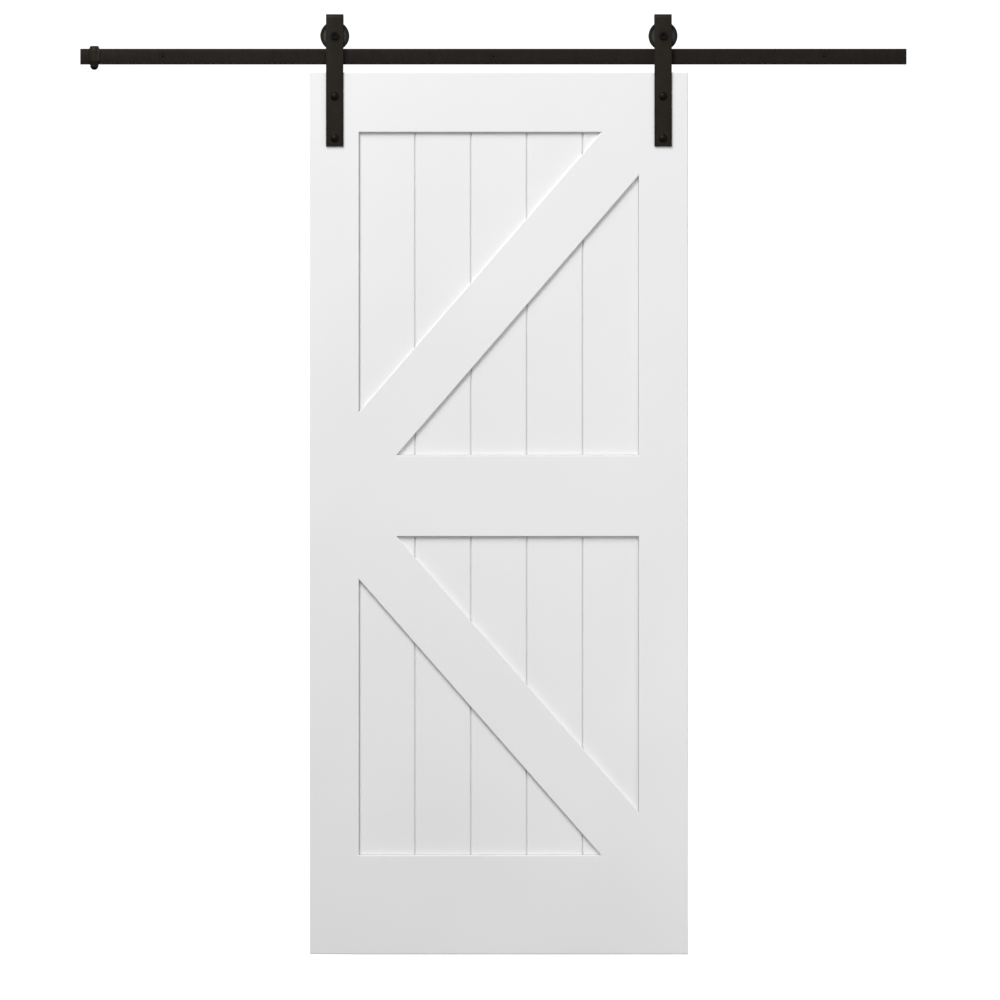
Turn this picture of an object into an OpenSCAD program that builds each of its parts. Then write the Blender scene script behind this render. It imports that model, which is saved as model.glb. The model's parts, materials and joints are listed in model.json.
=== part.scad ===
// Sliding barn door on its flat track.
// A stile-and-rail door with V-grooved panels and K braces hangs from two bent-strap
// hangers, whose grooved wheels roll on a flat steel bar that stands off the wall.
// Origin: centre of the bar on the wall surface. +X along the bar, +Z up, front is -Y.

/* [Door] */
// Width of the door
door_w = 914.4; // [760:0.1:1100]
// Height of the door
door_h = 2133.6; // [1900:0.1:2400]
// Thickness of the door
door_t = 35; // [32:0.5:43]
// Width of each stile
stile_w = 119; // [100:0.5:140]
// Height of the top rail
top_rail_h = 145; // [110:0.5:200]
// Height of the middle rail
middle_rail_h = 197; // [120:0.5:240]
// Height of the bottom rail
bottom_rail_h = 240; // [140:0.5:300]
// Height of the upper opening
upper_opening_h = 781; // [500:0.5:900]
// Eased edge round the outside of the door
edge_ease = 1.5; // [0.5:0.1:3]
// Door's offset from the middle of the bar at rest
door_shift = 13.3; // [-60:0.1:60]
// Gap between the bar and the top of the door
door_drop = 20; // [18:0.5:60]

/* [Panels] */
// Thickness of each grooved panel
panel_t = 16; // [12:0.5:20]
// Depth of the grooves that hold the panels
dado_depth = 12; // [8:0.5:16]
// Gap left at each edge of a panel in its groove
panel_play = 1; // [0.5:0.1:3]
// Number of planks marked on each panel
planks = 5; // [3:1:7]
// Width of a V groove at the surface
v_groove_w = 5.5; // [3:0.1:7]
// Depth of a V groove
v_groove_d = 4; // [1.5:0.1:5]
// Width of the shadow groove round each panel, beside the frame
quirk_w = 1; // [0.6:0.1:3]
// Depth of the shadow groove
quirk_d = 2; // [1:0.1:4]
// Bevel along the edges that face the panels
sticking_bevel = 2; // [1:0.1:5]

/* [Braces] */
// Width of each diagonal brace
brace_w = 138; // [90:0.5:170]

/* [Dowels] */
// Diameter of the dowels in the joints
dowel_d = 10; // [8:0.5:14]
// Length of the dowels
dowel_l = 90; // [60:1:110]
// Distance from a dowel to the edge of its rail
dowel_inset = 35; // [28:1:45]
// Radial room round a dowel
dowel_play = 0.05; // [0.02:0.01:0.2]

/* [Track] */
// Length of the track bar
bar_l = 2000; // [1800:1:2400]
// Height of the track bar
bar_h = 38; // [32:0.5:50]
// Thickness of the track bar
bar_t = 6; // [5:0.5:8]
// Length of the spacers between bar and wall
spacer_l = 38; // [34:0.5:56]
// Diameter of the spacers
spacer_d = 25; // [18:0.5:30]
// Distance between fixing screws
fixing_pitch = 400; // [300:1:450]
// Shank diameter of the fixing screws
lag_d = 8; // [6:0.5:10]
// Depth of the fixing screws' thread, where they enter the wall
lag_thread_cut = 0.3; // [0.2:0.1:0.6]
// Head diameter of the fixing screws
lag_head_d = 16.6; // [13:0.1:20]
// Length of each fixing screw that goes into the wall
lag_embed = 50; // [40:1:80]
// Radial room round a fixing screw
lag_play = 0.5; // [0.3:0.1:1]

/* [End stop] */
// Distance from the bar's end to the stop's axis
stop_inset = 34; // [25:1:60]
// Diameter of the stop
stop_d = 28; // [24:0.5:34]
// Diameter of the stop's flat ends
stop_end_d = 20; // [16:0.5:22]
// Height of the stop above the bar
stop_rise = 6.5; // [4:0.5:10]
// Height of the tapered shoulders
stop_taper = 10; // [5:0.5:12]
// Height of the stop's plain foot, below its lower taper
stop_lip = 3.5; // [2:0.1:5]
// Solid metal left in the stop below the bar
stop_neck = 5.4; // [4:0.1:8]
// Room between the stop and the bar
stop_play = 0.2; // [0.1:0.05:0.5]
// Thickness of the rubber bumper
bumper_t = 6; // [4:0.5:7]
// How far below the bar's middle the bumper reaches
bumper_drop = 9.5; // [5:0.5:18]
// Head diameter of the stop's locking screw
stop_screw_head_d = 19; // [14:0.5:22]
// Head height of the stop's locking screw
stop_screw_head_h = 7.5; // [4:0.5:8]
// Thread diameter of the stop's locking screw
stop_screw_d = 8; // [5:0.5:10]

/* [Hangers] */
// Distance from a hanger's middle to the door's edge
hanger_inset = 60; // [40:0.5:90]
// Width of the strap
strap_w = 42; // [36:0.5:50]
// Thickness of the strap
strap_t = 5; // [4:0.5:6]
// Outer radius of the strap's bends
strap_bend_r = 9; // [6:0.5:12]
// Distance from the door's top to the strap's lower end
strap_overlap = 179; // [150:1:220]
// Distance from the door's top to the upper door bolt
bolt_drop = 58; // [40:1:75]
// Distance between the door bolts
bolt_pitch = 101.6; // [70:0.1:110]
// Length of the short rear leg below the axle
rear_leg = 20; // [16:0.5:24]
// Room between the wheel and the top of the strap
strap_head_room = 12; // [3:0.5:16]
// Room at each side of the wheel
wheel_side_room = 3; // [2:0.5:6]

/* [Wheels] */
// Diameter of the wheel over its flanges
wheel_d = 70; // [64:0.5:84]
// Height of the flanges above the groove
flange_h = 4; // [3:0.5:6]
// Width of the wheel
wheel_w = 22; // [18:0.5:26]
// Side room of the bar in the groove
groove_play = 0.7; // [0.4:0.1:1.2]
// Running gap between groove and bar
tread_gap = 0.25; // [0.1:0.05:0.4]
// Radial width of the wheel's rim
rim_w = 7; // [6:0.5:9]
// Depth of the recess in each face of the wheel
recess_depth = 1.5; // [1.5:0.5:6]
// Wall of the wheel's hub round the bearing
hub_wall = 4; // [3:0.5:6]
// Radial width of the lip that stops the bearing in the wheel
bearing_lip = 2; // [1:0.5:3]
// Slope of the groove's flanks, as depth for each unit of flange height
flare_slope = 0.4; // [0.2:0.05:0.6]

/* [Bearings] */
// Bore of the bearing
bearing_bore = 12; // [10:0.1:12]
// Outer diameter of the bearing
bearing_d = 32; // [28:0.1:32]
// Width of the bearing
bearing_w = 10; // [8:0.1:10]
// Diameter of the bearing's balls
ball_d = 5.9; // [4.8:0.1:6]
// Number of balls
ball_count = 7; // [6:1:8]
// Clearance of the rings on axle and wheel
ring_play = 0.03; // [0.01:0.01:0.06]
// Clearance of the balls in their races
ball_play = 0.08; // [0.05:0.01:0.12]
// Thickness of the bearing's shields
shield_t = 0.5; // [0.4:0.1:0.8]

/* [Axles] */
// Head diameter of the axle bolt
axle_head_d = 20; // [18:0.5:22]
// Head height of the axle bolt
axle_head_h = 7; // [5:0.5:10]
// Width across flats of the axle bolt's socket
axle_socket = 10; // [6:0.5:10]
// Depth of the axle bolt's socket
axle_socket_depth = 5; // [3:0.5:6]
// Length of the axle bolt that shows behind its nut
axle_tip = 1.5; // [0.5:0.5:3]
// Outer diameter of the axle washer
axle_washer_d = 24; // [20:0.5:28]
// Outer diameter of the axle sleeves
sleeve_d = 17; // [15:0.5:18]
// Thickness of the axle washer
axle_washer_t = 2.5; // [1.5:0.1:3]
// Width across flats of the axle nut
axle_nut_af = 19; // [17:0.5:22]
// Height of the axle nut
axle_nut_h = 8; // [6:0.5:8.5]

/* [Door bolts] */
// Diameter of the door bolts
bolt_d = 8; // [6:0.5:10]
// Head diameter of the door bolts
bolt_head_d = 20.6; // [16:0.1:24]
// Head height of the door bolts
bolt_head_h = 5; // [3.5:0.1:7]
// Width of the square neck under the head
bolt_neck = 8.4; // [8:0.1:11]
// Radial room round a door bolt
bolt_play = 0.5; // [0.2:0.1:1]
// Outer diameter of the washers at the back of the door
bolt_washer_d = 24; // [18:0.5:30]
// Thickness of those washers
bolt_washer_t = 2; // [1.5:0.1:3]
// Width across flats of the door nuts
bolt_nut_af = 13; // [11:0.5:17]
// Height of the door nuts
bolt_nut_h = 6.5; // [5:0.5:8]
// Length of a door bolt that shows behind its nut
bolt_tip = 2; // [1:0.5:3]

/* [Hidden] */

$fn = 64;

LEFT = -1;
RIGHT = 1;
FRONT = -1;
BACK = 1;

// Colours
paint = [0.94, 0.94, 0.94];
beech = [0.78, 0.62, 0.42];
bronze = [0.18, 0.16, 0.15];
steel = [0.62, 0.63, 0.65];
rubber = [0.05, 0.05, 0.05];

through = 1;         // how far a cutter runs past the surface that it cuts
sliver = 0.01;       // thickness of the slices that a bevel is drawn between
reach = 3000;        // larger than the door, for half-planes

// Depths, measured from the wall towards the front
bar_back = -spacer_l;
bar_front = bar_back - bar_t;
bar_mid = (bar_back + bar_front) / 2;
strap_gap = wheel_w + 2 * wheel_side_room;
door_front = bar_mid - strap_gap / 2;   // the door's face lies against the straps
door_back = door_front + door_t;
door_mid = (door_front + door_back) / 2;

// Door outline and its members
bar_top = bar_h / 2;
door_top = -bar_h / 2 - door_drop;
door_bottom = door_top - door_h;
opening_w = door_w - 2 * stile_w;
lower_opening_h = door_h - top_rail_h - upper_opening_h - middle_rail_h - bottom_rail_h;
upper_opening_top = door_top - top_rail_h;
upper_opening_base = upper_opening_top - upper_opening_h;
lower_opening_top = upper_opening_base - middle_rail_h;
lower_opening_base = lower_opening_top - lower_opening_h;
UPPER = [upper_opening_base, upper_opening_h, 1];
LOWER = [lower_opening_base, lower_opening_h, -1];
plank_w = opening_w / planks;
recess = (door_t - panel_t) / 2;

// Wheels and hangers
wheel_r = wheel_d / 2;
tread_r = wheel_r - flange_h;
axle_z = bar_top + tread_r + tread_gap;
axle_play = 0.25;    // radial room round the axle bolt in the strap
axle_hole_r = bearing_bore / 2 + axle_play;
strap_front = door_front - strap_t;
strap_back = bar_mid + strap_gap / 2 + strap_t;
strap_top = axle_z + wheel_r + strap_head_room + strap_t;
strap_bottom = door_top - strap_overlap;
strap_bend_inner = max(strap_bend_r - strap_t, 1);
hanger_x = door_w / 2 - hanger_inset;
bolt_zs = [door_top - bolt_drop, door_top - bolt_drop - bolt_pitch];
bolt_hole_r = bolt_d / 2 + bolt_play;
neck_play = 0.2;     // room at each side of a square neck in the strap
neck_short = 0.4;    // how far a square neck ends before the strap's inner face
head_edge = 1;       // chamfer on the axle bolt's head

// Bearings
pitch_shift = 0.15;  // the ball circle lies slightly outside the middle of the two rings
pitch_r = (bearing_bore + bearing_d) / 4 + pitch_shift;
ball_r = ball_d / 2;
race_r = ball_r + ball_play;
land_share = 0.68;   // half of the gap between the two rings, as a share of a ball's radius
ring_land = ball_r * land_share;
shield_clear = 0.2;  // gap round a shield
shield_seat_w = shield_t + shield_clear;
shield_seat_d = 0.6; // depth of the step that a shield sits in
cage_t = 1;
cage_play = 0.05;    // radial room round a ball in the cage
cage_w = ball_d + 2 * cage_t;

// Track
fixing_xs = [for (i = [-2:2]) i * fixing_pitch];
lag_hole_r = lag_d / 2 + lag_play;
sink_depth = (lag_head_d - lag_d) / 2;
lag_tip = lag_d;                    // length of the point
lag_socket = lag_d * 3 / 4;         // width across flats of the socket
lag_socket_depth = 3.5;

// End stop
stop_x = -bar_l / 2 + stop_inset;
stop_top = bar_top + stop_rise;
stop_base = -bar_top - stop_play - stop_neck;
bumper_x = stop_d / 2 - bumper_t;
bumper_base = -bumper_drop;

// ---------------------------------------------------------------- shared shapes

// A cylinder whose axis points from the wall to the front, between two depths
module rod_y(r, y0, y1) {
    translate([0, y1, 0]) rotate([90, 0, 0]) cylinder(r = r, h = y1 - y0);
}

// A hexagonal prism between two depths, given across its flats
module hex_y(across_flats, y0, y1) {
    translate([0, y1, 0]) rotate([90, 0, 0])
        cylinder(d = across_flats / cos(30), h = y1 - y0, $fn = 6);
}

// A profile of [radius, depth] points turned about the line at depth zero
module turned_y(profile) {
    rotate([90, 0, 0]) rotate_extrude() polygon([for (p = profile) [p[0], -p[1]]]);
}

// A domed head that stands forward of the depth y, with a foot of radius r
module dome_y(r, h, y) {
    ball = (r * r + h * h) / (2 * h);
    translate([0, y, 0]) rotate([90, 0, 0]) rotate_extrude()
        intersection() {
            translate([0, h - ball]) circle(r = ball, $fn = 96);
            square([r + through, h]);
        }
}

// A flat ring between two depths
module ring_y(r_out, r_in, y0, y1) {
    difference() {
        rod_y(r_out, y0, y1);
        rod_y(r_in, y0 - through, y1 + through);
    }
}

// Places its children at the door's middle line
module on_door() {
    translate([door_shift, 0, 0]) children();
}

// Places its children at one hanger
module on_hanger(side) {
    translate([door_shift + side * hanger_x, 0, 0]) children();
}

// Places its children on one hanger's axle, at the middle of the wheel
module on_axle(side) {
    translate([door_shift + side * hanger_x, bar_mid, axle_z]) children();
}

// Places its children on the two door bolts of one hanger
module on_bolts(side) {
    for (z = bolt_zs) translate([door_shift + side * hanger_x, 0, z]) children();
}

// ---------------------------------------------------------------- door

// The door's outer block with its eased edges
module door_block() {
    e = edge_ease;
    translate([0, 0, door_bottom]) linear_extrude(height = door_h)
        polygon([
            [-door_w / 2 + e, door_front], [door_w / 2 - e, door_front],
            [door_w / 2, door_front + e], [door_w / 2, door_back - e],
            [door_w / 2 - e, door_back], [-door_w / 2 + e, door_back],
            [-door_w / 2, door_back - e], [-door_w / 2, door_front + e]
        ]);
}

// Wedges that ease the door's top and bottom edges
module end_easing() {
    e = edge_ease;
    for (end = [[door_top, -1], [door_bottom, 1]]) for (face = [[door_front, 1], [door_back, -1]])
        translate([-door_w / 2 - through, 0, 0]) rotate([90, 0, 90])
            linear_extrude(height = door_w + 2 * through)
                polygon([
                    [face[0] - face[1] * through, end[0] + end[1] * (e + through)],
                    [face[0] + face[1] * (e + through), end[0] - end[1] * through],
                    [face[0] - face[1] * through, end[0] - end[1] * through]
                ]);
}

// A member of the frame: the part of the door between two widths and two heights
module member(x0, x1, z0, z1) {
    intersection() {
        door_block();
        translate([x0, door_front - through, z0])
            cube([x1 - x0, door_t + 2 * through, z1 - z0]);
    }
}

// The slanted strip of a brace, drawn in an opening of the given height
module brace_strip(h, lean, w) {
    rotate(lean * atan2(h, opening_w)) square([reach, w], center = true);
}

// Outline of a brace: the strip trimmed by its opening
module brace_outline(h, lean) {
    intersection() {
        square([opening_w, h], center = true);
        brace_strip(h, lean, brace_w);
    }
}

// Outline of one of the two triangular pockets beside a brace: side 1 is above it, -1 below
module pocket_outline(h, lean, side) {
    intersection() {
        square([opening_w, h], center = true);
        rotate(lean * atan2(h, opening_w))
            translate([-reach / 2, side > 0 ? brace_w / 2 : -brace_w / 2 - reach])
                square([reach, reach]);
    }
}

// Lays a drawing of an opening on the door's front or back, rising out of the face
module on_face(opening, face) {
    translate([0, face == FRONT ? door_front : door_back, opening[0] + opening[1] / 2])
        rotate([90, 0, 0]) mirror([0, 0, face == FRONT ? 0 : 1]) children();
}

// The bevelled mouth of one pocket
module pocket_mouth(opening, side, face) {
    on_face(opening, face) hull() {
        translate([0, 0, -sticking_bevel]) linear_extrude(height = sliver)
            pocket_outline(opening[1], opening[2], side);
        linear_extrude(height = sliver) offset(delta = sticking_bevel)
            pocket_outline(opening[1], opening[2], side);
    }
}

// Mouths of the named pockets of an opening, on both faces
module pocket_mouths(opening, sides) {
    for (side = sides) for (face = [FRONT, BACK]) pocket_mouth(opening, side, face);
}

// The slot that a panel's edges sit in
module dado(opening) {
    translate([
        -opening_w / 2 - dado_depth, door_mid - panel_t / 2, opening[0] - dado_depth
    ])
        cube([opening_w + 2 * dado_depth, panel_t, opening[1] + 2 * dado_depth]);
}

// Places its children at each dowel of one rail, at both ends
module at_dowels(rail_base, rail_h) {
    for (z = [rail_base + dowel_inset, rail_base + rail_h - dowel_inset])
        for (side = [LEFT, RIGHT])
            translate([side * opening_w / 2 - dowel_l / 2, door_mid, z]) rotate([0, 90, 0])
                children();
}

module all_dowels() {
    at_dowels(upper_opening_top, top_rail_h) children();
    at_dowels(lower_opening_top, middle_rail_h) children();
    at_dowels(door_bottom, bottom_rail_h) children();
}

module dowel_bores() {
    all_dowels() translate([0, 0, -dowel_play])
        cylinder(d = dowel_d + 2 * dowel_play, h = dowel_l + 2 * dowel_play);
}

module stile(side) {
    x0 = side < 0 ? -door_w / 2 : opening_w / 2;
    color(paint) on_door() difference() {
        member(x0, x0 + stile_w, door_bottom, door_top);
        end_easing();
        dado(UPPER);
        dado(LOWER);
        dowel_bores();
        pocket_mouths(UPPER, [-side]);
        pocket_mouths(LOWER, [side]);
        for (z = bolt_zs) translate([side * hanger_x, 0, z])
            rod_y(bolt_hole_r, door_front - through, door_back + through);
    }
}

// pockets_above and pockets_below name the pockets of the upper and lower opening it faces
module rail(base, h, pockets_above, pockets_below) {
    color(paint) on_door() difference() {
        member(-opening_w / 2, opening_w / 2, base, base + h);
        end_easing();
        dado(UPPER);
        dado(LOWER);
        dowel_bores();
        pocket_mouths(UPPER, pockets_above);
        pocket_mouths(LOWER, pockets_below);
    }
}

// Section of a V groove in a face, open towards it
module v_cut(face) {
    mouth = v_groove_w / 2 * (1 + through / v_groove_d);
    polygon([[-mouth, face * through], [0, -face * v_groove_d], [mouth, face * through]]);
}

// The shadow groove round one face of a panel
module quirk(opening, face) {
    y = door_mid + face * panel_t / 2 + (face == FRONT ? quirk_d : through);
    translate([0, y, opening[0] + opening[1] / 2]) rotate([90, 0, 0])
        linear_extrude(height = quirk_d + through) difference() {
            square([opening_w, opening[1]], center = true);
            square([opening_w - 2 * quirk_w, opening[1] - 2 * quirk_w], center = true);
        }
}

module panel(opening) {
    edge = dado_depth - panel_play;
    color(paint) on_door() difference() {
        translate([-opening_w / 2 - edge, door_mid - panel_t / 2, opening[0] - edge])
            cube([opening_w + 2 * edge, panel_t, opening[1] + 2 * edge]);
        for (i = [1:planks - 1]) for (face = [FRONT, BACK])
            translate([
                -opening_w / 2 + i * plank_w, door_mid + face * panel_t / 2,
                opening[0] - dado_depth
            ])
                linear_extrude(height = opening[1] + 2 * dado_depth) v_cut(face);
        for (face = [FRONT, BACK]) quirk(opening, face);
    }
}

module brace(opening, face) {
    color(paint) on_door() difference() {
        on_face(opening, face) translate([0, 0, -recess]) linear_extrude(height = recess)
            brace_outline(opening[1], opening[2]);
        for (side = [-1, 1]) pocket_mouth(opening, side, face);
    }
}

module dowels() {
    color(beech) on_door() all_dowels() cylinder(d = dowel_d, h = dowel_l);
}

// ---------------------------------------------------------------- hangers

// The strap's side view, in depth and height
module strap_profile() {
    module leg_loop(inset, r) {
        y0 = strap_front + inset;
        y1 = strap_back - inset;
        top = strap_top - inset;
        translate([y0, strap_bottom]) square([y1 - y0, top - r - strap_bottom]);
        translate([y0 + r, strap_bottom]) square([y1 - y0 - 2 * r, top - strap_bottom]);
        for (y = [y0 + r, y1 - r]) translate([y, top - r]) circle(r = r);
    }
    difference() {
        leg_loop(0, strap_bend_r);
        translate([0, -through]) leg_loop(strap_t, strap_bend_inner);
        translate([strap_back - strap_t, strap_bottom]) translate([-through, -through])
            square([strap_t + 2 * through, axle_z - rear_leg - strap_bottom + through]);
    }
}

module strap(side) {
    color(bronze) on_hanger(side) difference() {
        translate([-strap_w / 2, 0, 0]) rotate([90, 0, 90]) linear_extrude(height = strap_w)
            strap_profile();
        translate([0, 0, axle_z])
            rod_y(axle_hole_r, strap_front - through, strap_back + through);
        neck = bolt_neck + 2 * neck_play;
        for (z = bolt_zs) translate([-neck / 2, strap_front - through, z - neck / 2])
            cube([neck, strap_t + 2 * through, neck]);
    }
}

module axle_bolt(side) {
    head_y = strap_front - bar_mid;
    tip_y = strap_back - bar_mid + axle_washer_t + axle_nut_h + axle_tip;
    top_y = head_y - axle_head_h;
    color(bronze) on_axle(side) difference() {
        union() {
            turned_y([
                [0, head_y], [axle_head_d / 2, head_y], [axle_head_d / 2, top_y + head_edge],
                [axle_head_d / 2 - head_edge, top_y], [0, top_y]
            ]);
            rod_y(bearing_bore / 2 - ring_play, head_y - through, tip_y);
        }
        hex_y(axle_socket, top_y - through, top_y + axle_socket_depth);
    }
}

module axle_sleeves(side) {
    color(steel) on_axle(side) for (face = [FRONT, BACK]) {
        near = bearing_w / 2;
        far = strap_gap / 2;
        ring_y(sleeve_d / 2, bearing_bore / 2 + ring_play,
            face == FRONT ? -far : near, face == FRONT ? -near : far);
    }
}

module axle_washer(side) {
    y = strap_back - bar_mid;
    color(bronze) on_axle(side)
        ring_y(axle_washer_d / 2, axle_hole_r, y, y + axle_washer_t);
}

module axle_nut(side) {
    y = strap_back - bar_mid + axle_washer_t;
    color(bronze) on_axle(side) difference() {
        hex_y(axle_nut_af, y, y + axle_nut_h);
        rod_y(bearing_bore / 2, y - through, y + axle_nut_h + through);
    }
}

module door_bolts(side) {
    tip = door_back + bolt_washer_t + bolt_nut_h + bolt_tip;
    color(bronze) on_bolts(side) {
        dome_y(bolt_head_d / 2, bolt_head_h, strap_front);
        translate([-bolt_neck / 2, strap_front - sliver, -bolt_neck / 2])
            cube([bolt_neck, strap_t - neck_short + sliver, bolt_neck]);
        rod_y(bolt_d / 2, strap_front, tip);
    }
}

module door_washers(side) {
    color(bronze) on_bolts(side)
        ring_y(bolt_washer_d / 2, bolt_hole_r, door_back, door_back + bolt_washer_t);
}

module door_nuts(side) {
    y = door_back + bolt_washer_t;
    color(bronze) on_bolts(side) difference() {
        hex_y(bolt_nut_af, y, y + bolt_nut_h);
        rod_y(bolt_d / 2 + ring_play, y - through, y + bolt_nut_h + through);
    }
}

// ---------------------------------------------------------------- wheels and bearings

module wheel(side) {
    bore = bearing_d / 2 + ring_play;
    hub = bore + hub_wall;
    groove = bar_t / 2 + groove_play;
    flare = groove + flange_h * flare_slope;
    edge = 1;
    half = wheel_w / 2;
    web = half - recess_depth;
    rim = wheel_r - rim_w;
    lip = bearing_w / 2;
    color(bronze) on_axle(side) difference() {
        turned_y([
            [bore - bearing_lip, half], [hub - edge, half], [hub, half - edge], [hub, web], [rim, web],
            [rim, half - edge], [rim + edge, half], [wheel_r - edge, half], [wheel_r, half - edge],
            [wheel_r, flare], [tread_r, groove], [tread_r, -groove], [wheel_r, -flare],
            [wheel_r, -half + edge], [wheel_r - edge, -half], [rim + edge, -half],
            [rim, -half + edge], [rim, -web], [hub, -web], [hub, -half + edge],
            [hub - edge, -half], [bore - bearing_lip, -half]
        ]);
        rod_y(bore, -half - through, lip);
    }
}

// A ring of the bearing, from radius r0 to r1, without its race
module bearing_blank(r0, r1) {
    ring_y(r1, r0, -bearing_w / 2, bearing_w / 2);
}

// The channel that the balls run in
module race() {
    rotate([90, 0, 0]) rotate_extrude() translate([pitch_r, 0]) circle(r = race_r);
}

module inner_ring(side) {
    color(steel) on_axle(side) difference() {
        bearing_blank(bearing_bore / 2, pitch_r - ring_land);
        race();
    }
}

module outer_ring(side) {
    inner = pitch_r + ring_land;
    seat = inner + shield_seat_d;
    color(steel) on_axle(side) difference() {
        bearing_blank(inner, bearing_d / 2);
        race();
        rod_y(seat, -bearing_w / 2 - through, -bearing_w / 2 + shield_seat_w);
        rod_y(seat, bearing_w / 2 - shield_seat_w, bearing_w / 2 + through);
    }
}

module bearing_balls(side) {
    color(steel) on_axle(side) for (i = [0:ball_count - 1])
        rotate([0, i * 360 / ball_count, 0]) translate([pitch_r, 0, 0]) sphere(r = ball_r);
}

module ball_cage(side) {
    color(steel) on_axle(side) difference() {
        ring_y(pitch_r + cage_t / 2, pitch_r - cage_t / 2, -cage_w / 2, cage_w / 2);
        for (i = [0:ball_count - 1])
            rotate([0, i * 360 / ball_count, 0]) translate([pitch_r - cage_t, 0, 0])
                rotate([0, 90, 0]) cylinder(r = ball_r + cage_play, h = 2 * cage_t);
    }
}

module bearing_shields(side) {
    inner = pitch_r - ring_land + shield_clear;
    outer = pitch_r + ring_land + shield_seat_d - ring_play;
    y = bearing_w / 2 - shield_seat_w;
    color(steel) on_axle(side) for (face = [FRONT, BACK])
        ring_y(outer, inner, face == FRONT ? -y - shield_t : y, face == FRONT ? -y : y + shield_t);
}

// ---------------------------------------------------------------- track

module bar() {
    color(bronze) difference() {
        translate([-bar_l / 2, bar_front, -bar_h / 2]) cube([bar_l, bar_t, bar_h]);
        for (x = fixing_xs) translate([x, 0, 0]) {
            rod_y(lag_hole_r, bar_front - through, bar_back + through);
            countersink(lag_head_d / 2 + lag_play, lag_hole_r);
        }
    }
}

// The cone sunk into the bar's face
module countersink(r_face, r_hole) {
    translate([0, bar_front, 0]) rotate([-90, 0, 0])
        cylinder(r1 = r_face, r2 = r_hole, h = r_face - r_hole);
}

module spacer(i) {
    color(bronze) translate([fixing_xs[i], 0, 0])
        ring_y(spacer_d / 2, lag_hole_r, bar_back, 0);
}

module lag_screw(i) {
    head_y = bar_front + lag_play;
    neck_y = head_y + sink_depth;
    thread_r = lag_d / 2 - lag_thread_cut;
    color(bronze) translate([fixing_xs[i], 0, 0]) difference() {
        turned_y([
            [0, head_y], [lag_head_d / 2, head_y], [lag_d / 2, neck_y], [lag_d / 2, 0],
            [thread_r, 0], [thread_r, lag_embed - lag_tip], [0, lag_embed]
        ]);
        hex_y(lag_socket, head_y - through, head_y + lag_socket_depth);
    }
}

// ---------------------------------------------------------------- end stop

// The stop's turned body: a barrel with tapered shoulders, standing upright
module stop_barrel() {
    r = stop_d / 2;
    end = stop_end_d / 2;
    rotate_extrude() polygon([
        [0, stop_base], [end, stop_base], [end, stop_base + stop_lip],
        [r, stop_base + stop_lip + stop_taper], [r, stop_top - stop_taper],
        [end, stop_top], [0, stop_top]
    ]);
}

// The side of the barrel that the bumper takes up
module bumper_zone() {
    translate([bumper_x, -stop_d, bumper_base]) cube([stop_d, 2 * stop_d, bar_h + stop_rise]);
}

// Window that the bar passes through
module bar_window() {
    translate([-stop_d, -bar_t / 2 - stop_play, -bar_h / 2 - stop_play])
        cube([2 * stop_d, bar_t + 2 * stop_play, bar_h + 2 * stop_play]);
}

module end_stop() {
    color(bronze) translate([stop_x, bar_mid, 0]) difference() {
        stop_barrel();
        bumper_zone();
        bar_window();
        translate([0, 0, stop_base - through])
            cylinder(d = stop_screw_d, h = stop_neck + 2 * through);
    }
}

module stop_bumper() {
    color(rubber) translate([stop_x, bar_mid, 0]) difference() {
        intersection() {
            stop_barrel();
            bumper_zone();
        }
        bar_window();
    }
}

module stop_screw() {
    r = stop_screw_head_d / 2;
    h = stop_screw_head_h;
    ball = (r * r + h * h) / (2 * h);
    color(bronze) translate([stop_x, bar_mid, 0]) {
        translate([0, 0, stop_base]) mirror([0, 0, 1]) rotate_extrude() intersection() {
            translate([0, h - ball]) circle(r = ball, $fn = 96);
            square([r + through, h]);
        }
        translate([0, 0, stop_base - through])
            cylinder(r = stop_screw_d / 2 - ring_play, h = -bar_top - stop_base + through);
    }
}

// ---------------------------------------------------------------- nodes

bar();
spacer(0);  // spacer_1
spacer(1);  // spacer_2
spacer(2);  // spacer_3
spacer(3);  // spacer_4
spacer(4);  // spacer_5
lag_screw(0);  // lag_screw_1
lag_screw(1);  // lag_screw_2
lag_screw(2);  // lag_screw_3
lag_screw(3);  // lag_screw_4
lag_screw(4);  // lag_screw_5
end_stop();
stop_bumper();
stop_screw();
stile(LEFT);  // stile_left
stile(RIGHT);  // stile_right
rail(upper_opening_top, top_rail_h, [1], []);  // top_rail
rail(lower_opening_top, middle_rail_h, [-1], [1]);  // middle_rail
rail(door_bottom, bottom_rail_h, [], [-1]);  // bottom_rail
panel(UPPER);  // upper_panel
panel(LOWER);  // lower_panel
brace(UPPER, FRONT);  // upper_brace_front
brace(LOWER, FRONT);  // lower_brace_front
brace(UPPER, BACK);  // upper_brace_back
brace(LOWER, BACK);  // lower_brace_back
dowels();
strap(LEFT);  // strap_left
strap(RIGHT);  // strap_right
axle_bolt(LEFT);  // axle_bolt_left
axle_bolt(RIGHT);  // axle_bolt_right
axle_sleeves(LEFT);  // axle_sleeves_left
axle_sleeves(RIGHT);  // axle_sleeves_right
axle_washer(LEFT);  // axle_washer_left
axle_washer(RIGHT);  // axle_washer_right
axle_nut(LEFT);  // axle_nut_left
axle_nut(RIGHT);  // axle_nut_right
door_bolts(LEFT);  // door_bolts_left
door_bolts(RIGHT);  // door_bolts_right
door_washers(LEFT);  // door_washers_left
door_washers(RIGHT);  // door_washers_right
door_nuts(LEFT);  // door_nuts_left
door_nuts(RIGHT);  // door_nuts_right
wheel(LEFT);  // wheel_left
wheel(RIGHT);  // wheel_right
inner_ring(LEFT);  // inner_ring_left
inner_ring(RIGHT);  // inner_ring_right
outer_ring(LEFT);  // outer_ring_left
outer_ring(RIGHT);  // outer_ring_right
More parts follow.
